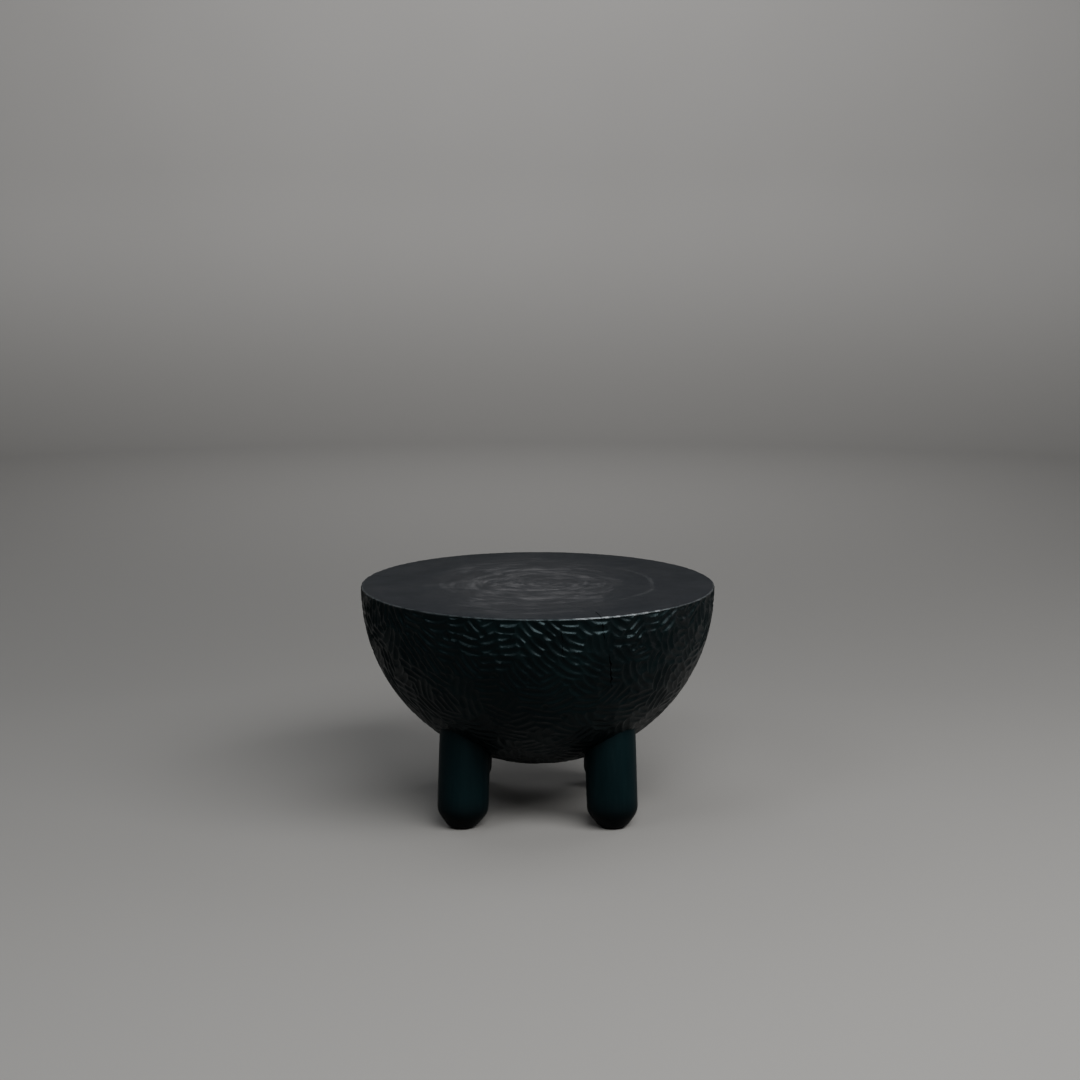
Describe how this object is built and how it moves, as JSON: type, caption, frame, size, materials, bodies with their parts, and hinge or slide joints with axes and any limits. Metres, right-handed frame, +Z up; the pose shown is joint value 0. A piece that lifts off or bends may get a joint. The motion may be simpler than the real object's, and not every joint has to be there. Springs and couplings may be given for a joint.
{
  "type": "coffee table",
  "caption": "Low round coffee table: solid wooden half ball with a flat top and gouged sides, on thick round splayed legs with tapered feet and felt pads.",
  "frame": {"origin": "on the floor, under the middle of the table", "axes": "+Z up, the front that the picture shows is -Y, +X to the right, the legs stand on the diagonals"},
  "size_m": [0.6999, 0.6999, 0.455],
  "materials": {
    "carved_wood": "black stained and waxed, gouge-cut side, smooth flat end-grain top",
    "leg_wood": "black stained, smooth, satin, with the grain along the leg",
    "wedge_wood": "bare hardwood, hidden in the joint",
    "felt": "dense black wool felt"
  },
  "bodies": {
    "root": {"bowl_block": "carved_wood", "leg_rear_right": "leg_wood", "tenon_wedge_rear_right": "wedge_wood", "felt_pad_rear_right": "felt", "leg_rear_left": "leg_wood", "tenon_wedge_rear_left": "wedge_wood", "felt_pad_rear_left": "felt", "leg_front_left": "leg_wood", "tenon_wedge_front_left": "wedge_wood", "felt_pad_front_left": "felt", "leg_front_right": "leg_wood", "tenon_wedge_front_right": "wedge_wood", "felt_pad_front_right": "felt"}
  },
  "joints": []
}
